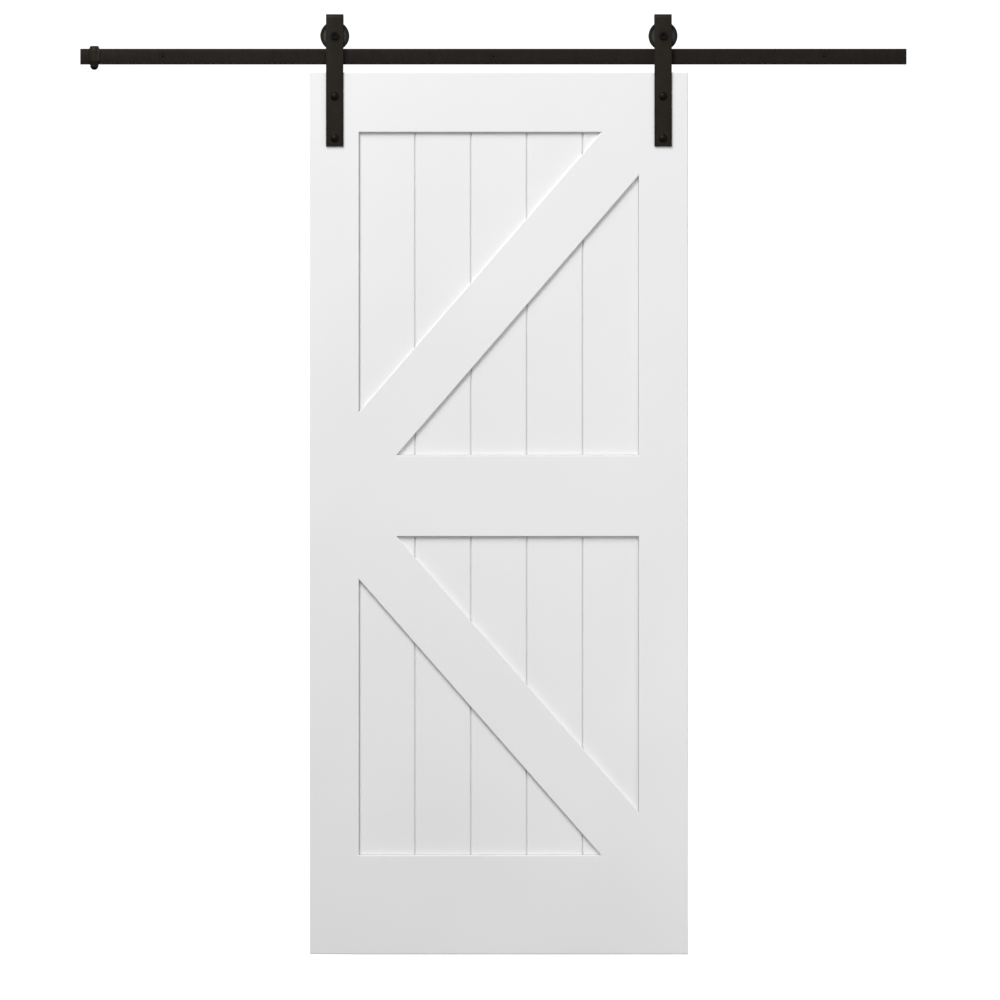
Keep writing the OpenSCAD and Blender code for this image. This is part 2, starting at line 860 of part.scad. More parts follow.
bearing_balls(LEFT);  // bearing_balls_left
bearing_balls(RIGHT);  // bearing_balls_right
ball_cage(LEFT);  // ball_cage_left
ball_cage(RIGHT);  // ball_cage_right
bearing_shields(LEFT);  // bearing_shields_left
bearing_shields(RIGHT);  // bearing_shields_right
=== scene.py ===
"""Sliding barn door on a flat wall track: finishes, detailed hardware, light and camera."""

from __future__ import annotations

import json
import logging
import math
from collections.abc import Callable, Iterable, Sequence
from dataclasses import dataclass, field
from enum import Enum
from typing import Any

import bmesh
import bpy
from mathutils import Matrix, Vector

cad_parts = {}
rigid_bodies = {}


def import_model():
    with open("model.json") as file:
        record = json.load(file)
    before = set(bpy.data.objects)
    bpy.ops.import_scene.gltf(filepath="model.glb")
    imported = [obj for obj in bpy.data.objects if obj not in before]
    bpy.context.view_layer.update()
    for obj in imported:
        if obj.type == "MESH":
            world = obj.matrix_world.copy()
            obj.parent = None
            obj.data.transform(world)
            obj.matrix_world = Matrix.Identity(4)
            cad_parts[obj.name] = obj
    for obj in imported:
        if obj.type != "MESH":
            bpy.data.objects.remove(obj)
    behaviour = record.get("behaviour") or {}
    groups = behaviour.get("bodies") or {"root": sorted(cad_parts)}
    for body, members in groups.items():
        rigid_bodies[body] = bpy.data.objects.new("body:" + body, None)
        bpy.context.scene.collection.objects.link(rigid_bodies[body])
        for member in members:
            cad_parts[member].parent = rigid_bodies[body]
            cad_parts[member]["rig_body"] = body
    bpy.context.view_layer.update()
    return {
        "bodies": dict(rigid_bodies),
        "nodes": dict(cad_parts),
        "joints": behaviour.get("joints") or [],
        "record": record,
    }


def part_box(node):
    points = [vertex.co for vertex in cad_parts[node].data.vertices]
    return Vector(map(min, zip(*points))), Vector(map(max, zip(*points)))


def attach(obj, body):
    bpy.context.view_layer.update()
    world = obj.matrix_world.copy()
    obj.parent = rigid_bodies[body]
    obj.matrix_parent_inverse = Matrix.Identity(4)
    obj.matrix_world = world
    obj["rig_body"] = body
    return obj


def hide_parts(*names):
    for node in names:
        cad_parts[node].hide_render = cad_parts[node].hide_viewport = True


LOG = logging.getLogger("barn_door")
MM = 0.001
PAST = 1.0 * MM  # how far a cutting shape runs past the face that it cuts
HEX_CORNER = 1 / math.cos(math.pi / 6)  # ratio of a hexagon's corner width to its flat width

Point = tuple[float, float]
Corner = tuple[float, float, float]
Colour = tuple[float, float, float]


class Side(Enum):
    """The two hangers, seen from the front."""

    LEFT = "left"
    RIGHT = "right"


class Boolean(Enum):
    """How one solid is combined with another."""

    CUT = "DIFFERENCE"
    KEEP_COMMON = "INTERSECT"


class Slot(Enum):
    """The record's material slots."""

    WHITE_PAINT = "white_paint"
    BEECH = "beech"
    BRONZE_COAT = "bronze_coat"
    BRONZE_WHEEL = "bronze_wheel"
    BRONZE_FASTENER = "bronze_fastener"
    BRIGHT_STEEL = "bright_steel"
    BLACK_RUBBER = "black_rubber"


# ---- places


@dataclass(frozen=True)
class Extent:
    """The box that a piece of the frame fills, in metres."""

    low: Vector
    high: Vector

    @classmethod
    def of(cls, node: str) -> Extent:
        """Reads the box of one piece of the frame."""
        low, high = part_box(node)
        return cls(low, high)

    @property
    def centre(self) -> Vector:
        """Middle of the box."""
        return (self.low + self.high) / 2

    @property
    def size(self) -> Vector:
        """Length of the box along each axis."""
        return self.high - self.low


# ---- shader maths


class Term:
    """A shader value that can be used in ordinary arithmetic."""

    def __init__(self, graph: NodeGraph, socket: bpy.types.NodeSocket) -> None:
        """Wraps an output socket of a graph."""
        self.graph = graph
        self.socket = socket

    def _math(self, operation: str, *values: Term | float) -> Term:
        """Result of a Math node with these inputs, in order."""
        inputs = dict(enumerate(values))
        node = self.graph.node("ShaderNodeMath", {"operation": operation}, inputs)
        return Term(self.graph, node.outputs[0])

    def __add__(self, other: Term | float) -> Term:
        """Sum."""
        return self._math("ADD", self, other)

    __radd__ = __add__

    def __sub__(self, other: Term | float) -> Term:
        """Difference."""
        return self._math("SUBTRACT", self, other)

    def __rsub__(self, other: float) -> Term:
        """Difference with a number first."""
        return self._math("SUBTRACT", other, self)

    def __mul__(self, other: Term | float) -> Term:
        """Product."""
        return self._math("MULTIPLY", self, other)

    __rmul__ = __mul__

    def between(self, low: float, high: float) -> Term:
        """The value spread from 0 at low to 1 at high, with soft ends."""
        settings = {"interpolation_type": "SMOOTHSTEP"}
        inputs = {"Value": self, "From Min": low, "From Max": high}
        node = self.graph.node("ShaderNodeMapRange", settings, inputs)
        return Term(self.graph, node.outputs["Result"])


class NodeGraph:
    """The nodes of a material or of the surround, built through a single method."""

    def __init__(self, tree: bpy.types.NodeTree) -> None:
        """Starts with an empty tree."""
        self.tree = tree
        self.tree.nodes.clear()

    def node(
        self,
        kind: str,
        settings: dict[str, Any] | None = None,
        inputs: dict[str | int, Any] | None = None,
    ) -> bpy.types.Node:
        """Adds a node.

        Args:
            kind: The node's type.
            settings: Properties to set first.
            inputs: A value, a Term or a socket for each named or numbered input.

        Returns:
            The new node.
        """
        node = self.tree.nodes.new(kind)
        for key, value in (settings or {}).items():
            setattr(node, key, value)
        for key, value in (inputs or {}).items():
            self.feed(node.inputs[key], value)
        return node

    def feed(self, socket: bpy.types.NodeSocket, value: Any) -> None:
        """Links an input to a Term or a socket, or sets it to a number or a colour."""
        if isinstance(value, Term):
            value = value.socket
        if isinstance(value, bpy.types.NodeSocket):
            self.tree.links.new(value, socket)
        elif isinstance(value, (tuple, list)) and len(value) == 3 and socket.type == "RGBA":
            socket.default_value = (*value, 1.0)
        else:
            socket.default_value = value

    def mixed(self, amount: Term, first: Any, second: Any) -> bpy.types.NodeSocket:
        """A colour between two others, each given as numbers or as a socket."""
        node = self.node("ShaderNodeMix", {"data_type": "RGBA"}, {"Factor": amount})
        ends = [socket for socket in node.inputs if socket.type == "RGBA"]
        for socket, colour in zip(ends, (first, second)):
            self.feed(socket, colour)
        return next(socket for socket in node.outputs if socket.type == "RGBA")

    def seen(self) -> Term:
        """One where the camera looks straight at the surface, and zero for all other light."""
        return Term(self, self.node("ShaderNodeLightPath").outputs["Is Camera Ray"])


class ShaderGraph(NodeGraph):
    """One material, with a Principled shader."""

    def __init__(self, name: str) -> None:
        """Starts a material with the shader and nothing else."""
        self.material = bpy.data.materials.new(name)
        self.material.use_nodes = True
        super().__init__(self.material.node_tree)
        self.surface = self.node("ShaderNodeBsdfPrincipled")
        self.node("ShaderNodeOutputMaterial", inputs={"Surface": self.surface.outputs[0]})
        self.place = self.node("ShaderNodeTexCoord").outputs["Object"]

    def set(self, **inputs: Any) -> None:
        """Feeds the shader's inputs, named in small letters with underscores."""
        names = {socket.name.lower().replace(" ", "_"): socket for socket in self.surface.inputs}
        for name, value in inputs.items():
            self.feed(names[name], value)

    def stretched(self, scale: Sequence[float]) -> bpy.types.NodeSocket:
        """Object coordinates scaled along each axis."""
        inputs = {"Vector": self.place, "Scale": tuple(scale)}
        return self.node("ShaderNodeMapping", inputs=inputs).outputs[0]

    def painted(self, name: str) -> Term:
        """A value stored on the mesh's points."""
        node = self.node("ShaderNodeAttribute", {"attribute_name": name})
        return Term(self, node.outputs["Fac"])

    def noise(self, scale: float, detail: float = 2.0, place: Any = None) -> Term:
        """A cloudy value from 0 to 1.

        Args:
            scale: Number of clouds in a metre.
            detail: How many finer layers are added.
            place: Coordinates, or none for the object's own.

        Returns:
            The value.
        """
        inputs = {"Vector": place or self.place, "Scale": scale, "Detail": detail}
        return Term(self, self.node("ShaderNodeTexNoise", inputs=inputs).outputs["Fac"])

    def cells(self, scale: float, place: Any = None) -> Term:
        """Distance to the nearest point of a random scatter, with scale points in a metre."""
        inputs = {"Vector": place or self.place, "Scale": scale}
        return Term(self, self.node("ShaderNodeTexVoronoi", inputs=inputs).outputs["Distance"])

    def openness(self, reach: float) -> Term:
        """One on an open face, less the more that other faces crowd round within a reach."""
        settings = {"samples": 8}
        node = self.node("ShaderNodeAmbientOcclusion", settings, {"Distance": reach})
        return Term(self, node.outputs["AO"])

    def raised(self, height: Term, depth: float, strength: float = 1.0) -> None:
        """Bumps the surface.

        Args:
            height: Relief from 0 to 1.
            depth: Height of the relief in metres.
            strength: Share of the relief that shows.
        """
        inputs = {"Height": height, "Distance": depth, "Strength": strength}
        self.set(normal=self.node("ShaderNodeBump", inputs=inputs).outputs[0])


@dataclass(frozen=True)
class WhitePaint:
    """Satin primer rolled and sprayed on smooth fibreboard, with painted shade darkening its
    creases, grooves and joints.
    """

    colour: Colour = (0.86, 0.862, 0.858)
    shade: Colour = (0.835, 0.838, 0.835)
    # Grey of the painted shade laid into creases, grooves and joints, where other faces crowd
    # round.
    joint: Colour = (0.63, 0.63, 0.625)
    crease_shade_reach: float = 4.0 * MM
    crease_shade_band: Point = (0.20, 0.75)
    roughness: float = 0.36
    clouds_per_m: float = 2.2
    specks_per_m: float = 95.0
    speck_size: Point = (0.02, 0.05)
    strokes_per_m: Corner = (260.0, 260.0, 9.0)
    stipple_per_m: float = 620.0
    stipple_depth: float = 0.05 * MM

    def build(self) -> bpy.types.Material:
        """Makes the material."""
        graph = ShaderGraph("white_satin_primer")
        clouds = graph.noise(self.clouds_per_m, 3.0).between(0.3, 0.75)
        stipple = graph.noise(self.stipple_per_m, 2.0)
        strokes = graph.noise(1.0, 3.0, graph.stretched(self.strokes_per_m))
        specks = 1.0 - graph.cells(self.specks_per_m).between(*self.speck_size)
        # Painted shade: an ambient-occlusion mask darkens the base colour towards the crease grey
        # in creases, grooves and joints.
        clean_unshaded = graph.openness(self.crease_shade_reach).between(*self.crease_shade_band)
        colour = graph.mixed(clean_unshaded, self.joint, graph.mixed(clouds, self.colour, self.shade))
        graph.set(base_color=colour, roughness=self.roughness + stipple * 0.10 + strokes * 0.10)
        graph.set(ior=1.48, specular_ior_level=0.38)
        graph.raised(stipple * 0.7 + strokes * 0.25 + specks * 0.35, self.stipple_depth, 0.6)
        return graph.material


@dataclass(frozen=True)
class DarkCoat:
    """Dark bronze coating on steel, with a fine powder texture."""

    name: str
    colour: Colour
    warm: Colour
    roughness: float
    specular: float
    grain_per_m: float = 1500.0
    mottle_per_m: float = 38.0
    rubs_per_m: Corner = (70.0, 70.0, 16.0)
    grain_depth: float = 0.035 * MM

    def build(self) -> bpy.types.Material:
        """Makes the material."""
        graph = ShaderGraph(self.name)
        grain = graph.noise(self.grain_per_m, 2.0)
        mottle = graph.noise(self.mottle_per_m, 4.0)
        rubbed = graph.noise(1.0, 3.0, graph.stretched(self.rubs_per_m))
        tone = (mottle * 0.6 + rubbed * 0.4).between(0.35, 0.7)
        graph.set(base_color=graph.mixed(tone, self.colour, self.warm))
        graph.set(roughness=self.roughness - tone * 0.08 + grain * 0.10)
        graph.set(specular_ior_level=self.specular)
        graph.raised(grain * 0.8 + mottle * 0.2, self.grain_depth, 0.5)
        return graph.material


@dataclass(frozen=True)
class WheelCoat:
    """Dark coating on the wheel's rims, and the web between rim and hub painted paler: a painted
    highlight of the lit web against the shaded rims.
    """

    rim: Colour = (0.0100, 0.0085, 0.0065)
    # Web colours: a painted highlight, several times paler than the rims' dark coat.
    web: Colour = (0.0640, 0.0600, 0.0500)
    worn: Colour = (0.0420, 0.0385, 0.0320)
    roughness: float = 0.46
    specular: float = 0.16
    grain_per_m: float = 1500.0
    mottle_per_m: float = 60.0
    grain_depth: float = 0.03 * MM
    mask: str = "web"

    def build(self) -> bpy.types.Material:
        """Makes the material."""
        graph = ShaderGraph("bronze_wheel_coat")
        # Painted highlight: the mask lightens the web between rim and hub, and the rims stay dark
        # as if in shade.
        web = graph.painted(self.mask).between(0.2, 0.8)
        grain = graph.noise(self.grain_per_m, 2.0)
        mottle = graph.noise(self.mottle_per_m, 3.0).between(0.35, 0.7)
        colour = graph.mixed(web, self.rim, graph.mixed(mottle, self.web, self.worn))
        graph.set(base_color=colour, roughness=self.roughness - web * 0.08 + grain * 0.10)
        graph.set(specular_ior_level=self.specular)
        graph.raised(grain, self.grain_depth, 0.5)
        return graph.material


@dataclass(frozen=True)
class BrightSteel:
    """Ground and polished bearing steel."""

    clean_unshaded: Colour = (0.60, 0.60, 0.61)
    oiled: Colour = (0.50, 0.49, 0.47)
    roughness: float = 0.22
    film_per_m: float = 60.0
    lines_per_m: Corner = (120.0, 2600.0, 120.0)
    line_depth: float = 0.01 * MM

    def build(self) -> bpy.types.Material:
        """Makes the material."""
        graph = ShaderGraph("ground_steel")
        lines = graph.noise(1.0, 2.0, graph.stretched(self.lines_per_m))
        film = graph.noise(self.film_per_m, 3.0)
        colour = graph.mixed(film.between(0.3, 0.7), self.clean_unshaded, self.oiled)
        rough = self.roughness + lines * 0.14 + film * 0.06
        graph.set(base_color=colour, metallic=1.0, roughness=rough)
        graph.raised(lines, self.line_depth, 0.4)
        return graph.material


@dataclass(frozen=True)
class BlackRubber:
    """Moulded black rubber with a matt bloom."""

    colour: Colour = (0.014, 0.013, 0.012)
    bloom: Colour = (0.030, 0.029, 0.028)
    roughness: float = 0.68
    bloom_per_m: float = 70.0
    pores_per_m: float = 1900.0
    pore_depth: float = 0.04 * MM

    def build(self) -> bpy.types.Material:
        """Makes the material."""
        graph = ShaderGraph("black_rubber")
        pores = graph.noise(self.pores_per_m, 2.0)
        bloom = graph.noise(self.bloom_per_m, 3.0).between(0.4, 0.75)
        graph.set(base_color=graph.mixed(bloom, self.colour, self.bloom))
        graph.set(roughness=self.roughness + pores * 0.14)
        graph.raised(pores, self.pore_depth, 0.6)
        return graph.material


@dataclass(frozen=True)
class Beech:
    """Bare turned beech with its flecks along the length."""

    dark: Colour = (0.50, 0.31, 0.16)
    pale: Colour = (0.66, 0.46, 0.27)
    roughness: float = 0.55
    fibres_per_m: Corner = (14.0, 420.0, 420.0)
    flecks_per_m: Corner = (160.0, 1300.0, 1300.0)
    fibre_depth: float = 0.06 * MM

    def build(self) -> bpy.types.Material:
        """Makes the material."""
        graph = ShaderGraph("beech")
        fibres = graph.noise(1.0, 4.0, graph.stretched(self.fibres_per_m))
        flecks = graph.cells(1.0, graph.stretched(self.flecks_per_m)).between(0.15, 0.4)
        tone = (fibres * 0.7 + flecks * 0.3).between(0.25, 0.75)
        graph.set(base_color=graph.mixed(tone, self.dark, self.pale))
        graph.set(roughness=self.roughness + fibres * 0.15)
        graph.raised(fibres, self.fibre_depth, 0.5)
        return graph.material


class Finishes:
    """The finished materials, made once and shared by all pieces."""

    def __init__(self) -> None:
        """Builds every material."""
        self.materials = {
            Slot.WHITE_PAINT: WhitePaint().build(),
            Slot.BEECH: Beech().build(),
            Slot.BRONZE_COAT: DarkCoat(
                name="bronze_powder_coat", colour=(0.0130, 0.0106, 0.0072),
                warm=(0.0175, 0.0140, 0.0095), roughness=0.48, specular=0.12,
            ).build(),
            Slot.BRONZE_WHEEL: WheelCoat().build(),
            Slot.BRONZE_FASTENER: DarkCoat(
                name="dark_oxide", colour=(0.0030, 0.0024, 0.0017),
                warm=(0.0045, 0.0037, 0.0026), roughness=0.42, specular=0.11,
            ).build(),
            Slot.BRIGHT_STEEL: BrightSteel().build(),
            Slot.BLACK_RUBBER: BlackRubber().build(),
        }
        # A darker, redder copy of the bronze coat for the bar and its wall screws; its darkening is
        # painted shade.
        self.track_coat = DarkCoat(
            name="track_coat", colour=(0.0105, 0.0078, 0.0060),
            warm=(0.0145, 0.0108, 0.0082), roughness=0.48, specular=0.11,
        ).build()

    def dress(
        self, piece: bpy.types.Object, slot: Slot, coat: bpy.types.Material | None = None
    ) -> None:
        """Gives a piece its slot's finish, or a coat of its own."""
        piece.data.materials.clear()
        piece.data.materials.append(coat or self.materials[slot])


# ---- modelling


def rounded(corners: Sequence[Corner], closed: bool = False, steps: int = 5) -> list[Point]:
    """Turns an outline with sharp corners into one with arcs.

    Args:
        corners: Each corner's two coordinates and its radius.
        closed: Whether the last corner joins the first.
        steps: Number of segments in each arc.

    Returns:
        The outline's points.
    """
    side_share = 0.49  # two neighbouring arcs never meet on the side between them
    points: list[Point] = []
    count = len(corners)
    for index, (x, y, radius) in enumerate(corners):
        here = Vector((x, y))
        if radius <= 0 or (not closed and index in (0, count - 1)):
            points.append((x, y))
            continue
        before = Vector(corners[index - 1][:2]) - here
        after = Vector(corners[(index + 1) % count][:2]) - here
        turn = before.angle(after)
        room = min(before.length, after.length) * side_share
        cut = min(radius / math.tan(turn / 2), room)
        radius = cut * math.tan(turn / 2)
        centre = here + (before.normalized() + after.normalized()).normalized() * (
            radius / math.sin(turn / 2)
        )
        start = here + before.normalized() * cut - centre
        end = here + after.normalized() * cut - centre
        sweep = start.angle_signed(end)
        for step in range(steps + 1):
            spoke = start.copy()
            spoke.rotate(Matrix.Rotation(-sweep * step / steps, 2))
            points.append(tuple(centre + spoke))
    return points


def ball_cap(crown: float, radius: float, height: float, steps: int) -> list[Point]:
    """Outlines the dome of a screw's or a bolt's head.

    Args:
        crown: Depth of the dome's crown, which lies on the axis.
        radius: Radius of its rim.
        height: Distance from the crown to the rim along the axis.
        steps: Number of segments from the crown to the rim.

    Returns:
        The outline's points.
    """
    ball = (radius**2 + height**2) / (2 * height)
    reach = math.asin(radius / ball)
    angles = [reach * step / steps for step in range(steps + 1)]
    return [(ball * math.sin(angle), crown + ball - ball * math.cos(angle)) for angle in angles]


class Solid:
    """A closed mesh shaped with bmesh operators, in metres."""

    smooth_below = math.radians(34)
    ridge_share = 0.38  # half of a thread ridge's width, as a share of the pitch
    crest_share = 0.1  # half of its flat crest, as a share of that half
    turn_steps = 28
    doubles = 0.001 * MM

    def __init__(self) -> None:
        """Starts with nothing."""
        self.mesh = bmesh.new()

    @classmethod
    def block(cls, low: Sequence[float], high: Sequence[float]) -> Solid:
        """A box between two corners."""
        solid = cls()
        low, high = Vector(low), Vector(high)
        place = Matrix.Translation((low + high) / 2) @ Matrix.Diagonal((*(high - low), 1.0))
        bmesh.ops.create_cube(solid.mesh, size=1.0, matrix=place)
        return solid

    @classmethod
    def turned(cls, profile: Sequence[Point], closed: bool = False, steps: int = 96) -> Solid:
        """A shape turned about the Y axis.

        Args:
            profile: Points of radius and depth.
            closed: Whether the profile is a loop that stays clear of the axis.
            steps: Number of segments round the axis.

        Returns:
            The solid.
        """
        solid = cls()
        verts = [solid.mesh.verts.new((radius, depth, 0.0)) for radius, depth in profile]
        pairs = list(zip(verts, verts[1:])) + ([(verts[-1], verts[0])] if closed else [])
        edges = [solid.mesh.edges.new(pair) for pair in pairs]
        bmesh.ops.spin(
            solid.mesh, geom=verts + edges, cent=(0, 0, 0), axis=(0, 1, 0),
            angle=math.tau, steps=steps, use_merge=True,
        )
        return solid.cleaned()

    @classmethod
    def prism(cls, outline: Sequence[Point], width: float) -> Solid:
        """An outline in depth and height, drawn out along X from the origin's plane."""
        solid = cls()
        verts = [solid.mesh.verts.new((0.0, depth, height)) for depth, height in outline]
        solid.mesh.faces.new(verts)
        return solid.drawn_out((width, 0, 0))

    @classmethod
    def hexagon(cls, across_flats: float, start: float, end: float) -> Solid:
        """A hexagonal bar along Y between two depths."""
        solid = cls()
        bmesh.ops.create_circle(
            solid.mesh, cap_ends=True, segments=6, radius=across_flats / 2 * HEX_CORNER,
            matrix=Matrix.Translation((0, start, 0)) @ Matrix.Rotation(math.pi / 2, 4, "X"),
        )
        return solid.drawn_out((0, end - start, 0))

    @classmethod
    def thread(cls, radius: float, height: float, pitch: float, start: float, end: float) -> Solid:
        """A thread's ridge about the Y axis between two depths, with its crest at the radius."""
        solid = cls()
        root = radius - height
        half = pitch * cls.ridge_share
        corners = [
            (root, start), (radius, start + half * (1 - cls.crest_share)),
            (radius, start + half * (1 + cls.crest_share)), (root, start + half * 2),
        ]
        verts = [solid.mesh.verts.new((r, y, 0.0)) for r, y in corners]
        face = solid.mesh.faces.new(verts)
        turns = (end - start - 2 * half) / pitch
        steps = int(turns * cls.turn_steps)
        bmesh.ops.spin(
            solid.mesh, geom=[face, *face.edges, *verts], cent=(0, 0, 0), axis=(0, 1, 0),
            dvec=(0, turns * pitch / steps, 0), angle=math.tau * turns, steps=steps,
        )
        return solid.cleaned()

    def drawn_out(self, offset: Sequence[float]) -> Solid:
        """Draws a flat outline out into a solid."""
        drawn = bmesh.ops.extrude_face_region(self.mesh, geom=list(self.mesh.faces))["geom"]
        moved = [item for item in drawn if isinstance(item, bmesh.types.BMVert)]
        bmesh.ops.translate(self.mesh, verts=moved, vec=offset)
        return self.cleaned()

    def cleaned(self) -> Solid:
        """Merges doubles and points the faces outwards."""
        bmesh.ops.remove_doubles(self.mesh, verts=self.mesh.verts, dist=self.doubles)
        bmesh.ops.dissolve_degenerate(self.mesh, edges=self.mesh.edges, dist=self.doubles / 2)
        bmesh.ops.recalc_face_normals(self.mesh, faces=self.mesh.faces)
        return self

    def moved(self, offset: Sequence[float]) -> Solid:
        """Shifts the solid."""
        bmesh.ops.translate(self.mesh, verts=self.mesh.verts, vec=Vector(offset))
        return self

    def rotated(self, angle: float, axis: str) -> Solid:
        """Turns the solid about an axis through the origin."""
        turn = Matrix.Rotation(angle, 3, axis)
        bmesh.ops.rotate(self.mesh, cent=(0, 0, 0), matrix=turn, verts=self.mesh.verts)
        return self

    def softened(self, width: float, segments: int = 2, above: float = 38.0) -> Solid:
        """Rounds every edge that is sharper than an angle.

        Args:
            width: Width of the rounding.
            segments: Number of facets across it.
            above: Smallest angle in degrees between the faces of an edge.

        Returns:
            The solid.
        """
        sharp = [edge for edge in self.mesh.edges
                 if edge.is_manifold and edge.calc_face_angle(0.0) > math.radians(above)]
        bmesh.ops.bevel(
            self.mesh, geom=sharp, offset=width, segments=segments, profile=0.5,
            affect="EDGES", clamp_overlap=True, material=-1,
        )
        return self

    def joined(self, *others: Solid) -> Solid:
        """Adds other solids as separate shells of the same piece."""
        for other in others:
            mesh = bpy.data.meshes.new("shell")
            other.mesh.to_mesh(mesh)
            self.mesh.from_mesh(mesh)
            bpy.data.meshes.remove(mesh)
        return self

    def combined(self, other: Solid, how: Boolean) -> Solid:
        """Cuts this solid with another, or keeps what they share."""
        target, tool = self.as_object("target"), other.as_object("tool")
        modifier = target.modifiers.new("combine", "BOOLEAN")
        modifier.operation = how.value
        modifier.solver = "EXACT"
        modifier.object = tool
        bpy.context.view_layer.update()
        result = target.evaluated_get(bpy.context.evaluated_depsgraph_get())
        self.mesh.clear()
        self.mesh.from_mesh(result.data)
        for piece in (target, tool):
            bpy.data.objects.remove(piece)
        return self.cleaned()

    def cut(self, *tools: Solid) -> Solid:
        """Cuts other solids out of this one."""
        for tool in tools:
            self.combined(tool, Boolean.CUT)
        return self

    def as_object(self, name: str) -> bpy.types.Object:
        """Makes a linked object of the mesh, shaded smooth up to sharp edges."""
        mesh = bpy.data.meshes.new(name)
        self.mesh.to_mesh(mesh)
        mesh.shade_smooth()
        mesh.set_sharp_from_angle(angle=self.smooth_below)
        piece = bpy.data.objects.new(name, mesh)
        bpy.context.scene.collection.objects.link(piece)
        return piece


class Workshop:
    """Turns solids into finished pieces that ride on the frame's bodies."""

    def __init__(self, frame: dict[str, Any], finishes: Finishes) -> None:
        """Keeps the frame and the finishes."""
        self.nodes = frame["nodes"]
        self.finishes = finishes

    @staticmethod
    def paint(
        piece: bpy.types.Object, name: str, centre: Vector, near: float, far: float
    ) -> None:
        """Stores a mask on a turned piece: one between two radii, and zero elsewhere.

        Args:
            piece: The piece, whose axis points along Y.
            name: The mask's name.
            centre: A point on the axis.
            near: Smaller radius.
            far: Larger radius.
        """
        mask = piece.data.attributes.new(name, "FLOAT", "POINT")
        for vertex, value in zip(piece.data.vertices, mask.data):
            radius = math.hypot(vertex.co.x - centre.x, vertex.co.z - centre.z)
            value.value = float(near <= radius <= far)

    def place(
        self, solid: Solid, node: str, slot: Slot, coat: bpy.types.Material | None = None
    ) -> bpy.types.Object:
        """Puts a detailed piece in the place of a frame node.

        Args:
            solid: The piece's shape, where it belongs.
            node: The node that it stands for.
            slot: The record's slot for it.
            coat: A coat of its own, or none for the slot's finish.

        Returns:
            The new piece.
        """
        piece = solid.as_object(f"{node}_detail")
        self.finishes.dress(piece, slot, coat)
        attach(piece, self.nodes[node]["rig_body"])
        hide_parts(node)
        LOG.info("%s: %d faces, %s", piece.name, len(piece.data.polygons), slot.value)
        return piece

    def keep(self, nodes: Iterable[str], slot: Slot) -> None:
        """Keeps frame nodes as they are and gives them a finish."""
        for node in nodes:
            self.finishes.dress(self.nodes[node], slot)
            LOG.info("%s: kept, %s", node, slot.value)


# ---- sub-assemblies


@dataclass
class DoorLeaf:
    """The painted leaf: frame, grooved panels, braces and the dowels inside."""

    members: tuple[str, ...] = (
        "stile_left", "stile_right", "top_rail", "middle_rail", "bottom_rail",
        "upper_panel", "lower_panel", "upper_brace_front", "lower_brace_front",
        "upper_brace_back", "lower_brace_back",
    )

    def build(self, shop: Workshop) -> None:
        """Dresses the leaf's pieces, whose shapes are already right."""
        shop.keep(self.members, Slot.WHITE_PAINT)
        shop.keep(("dowels",), Slot.BEECH)


@dataclass
class WallFixings:
    """Spacers and countersunk wall screws along the bar."""

    count: int = 5
    spacer_bore: float = 9.0 * MM
    edge: float = 0.8 * MM
    head_rim: float = 0.35 * MM
    head_fillet: float = 0.4 * MM
    socket: float = 6.0 * MM
    socket_depth: float = 3.5 * MM
    shank: float = 8.0 * MM
    core: float = 5.6 * MM
    thread_pitch: float = 3.6 * MM
    thread_height: float = 0.9 * MM
    thread_root: float = 0.2 * MM
    point: float = 8.0 * MM
    point_fillet: float = 0.5 * MM

    def spacer(self, place: Extent) -> Solid:
        """A tube with eased ends."""
        outer, inner = place.size.x / 2, self.spacer_bore / 2
        back, front = place.high.y, place.low.y
        profile = rounded(
            [(inner, front, self.edge / 2), (outer, front, self.edge),
             (outer, back, self.edge), (inner, back, self.edge / 2)],
            closed=True,
        )
        return Solid.turned(profile, closed=True).moved((place.centre.x, 0, place.centre.z))

    def screw(self, place: Extent) -> Solid:
        """A countersunk screw with a socket and a coarse thread behind the wall surface."""
        head, front, tip = place.size.x / 2, place.low.y, place.high.y
        shank, core = self.shank / 2, self.core / 2
        profile = rounded([
            (0, front, 0), (head - self.head_rim, front, 0), (head, front + self.head_rim, 0),
            (shank, front + head - shank, self.head_fillet), (shank, -self.edge, 0),
            (core, 0, 0), (core, tip - self.point, self.point_fillet), (0, tip, 0),
        ])
        socket = Solid.hexagon(self.socket, front - PAST, front + self.socket_depth)
        thread = Solid.thread(
            core + self.thread_height, self.thread_height + self.thread_root,
            self.thread_pitch, self.edge, tip - self.point,
        )
        body = Solid.turned(profile, steps=64).cut(socket)
        return body.joined(thread).moved((place.centre.x, 0, place.centre.z))

    def build(self, shop: Workshop) -> None:
        """Makes every spacer, and every screw in the bar's coat."""
        coat = shop.finishes.track_coat
        for number in range(1, self.count + 1):
            spacer, screw = f"spacer_{number}", f"lag_screw_{number}"
            shop.place(self.spacer(Extent.of(spacer)), spacer, Slot.BRONZE_COAT)
            shop.place(self.screw(Extent.of(screw)), screw, Slot.BRONZE_FASTENER, coat)


@dataclass
class TrackBar:
    """The flat bar, with a countersunk hole at each spacer."""

    edge: float = 0.7 * MM
    hole: float = 9.0 * MM
    sink: float = 17.6 * MM
    fixings: WallFixings = field(default_factory=WallFixings)

    def build(self, shop: Workshop) -> None:
        """Makes the bar."""
        place = Extent.of("bar")
        bar = Solid.block(place.low, place.high).softened(self.edge, 3)
        front, back = place.low.y, place.high.y
        wide, narrow = self.sink / 2, self.hole / 2
        profile = [
            (0, front - PAST), (wide, front - PAST), (wide, front),
            (narrow, front + wide - narrow), (narrow, back + PAST), (0, back + PAST),
        ]
        for number in range(1, self.fixings.count + 1):
            middle = Extent.of(f"spacer_{number}").centre
            bar.cut(Solid.turned(profile, steps=64).moved((middle.x, 0, middle.z)))
        shop.place(bar, "bar", Slot.BRONZE_COAT, shop.finishes.track_coat)
        self.fixings.build(shop)


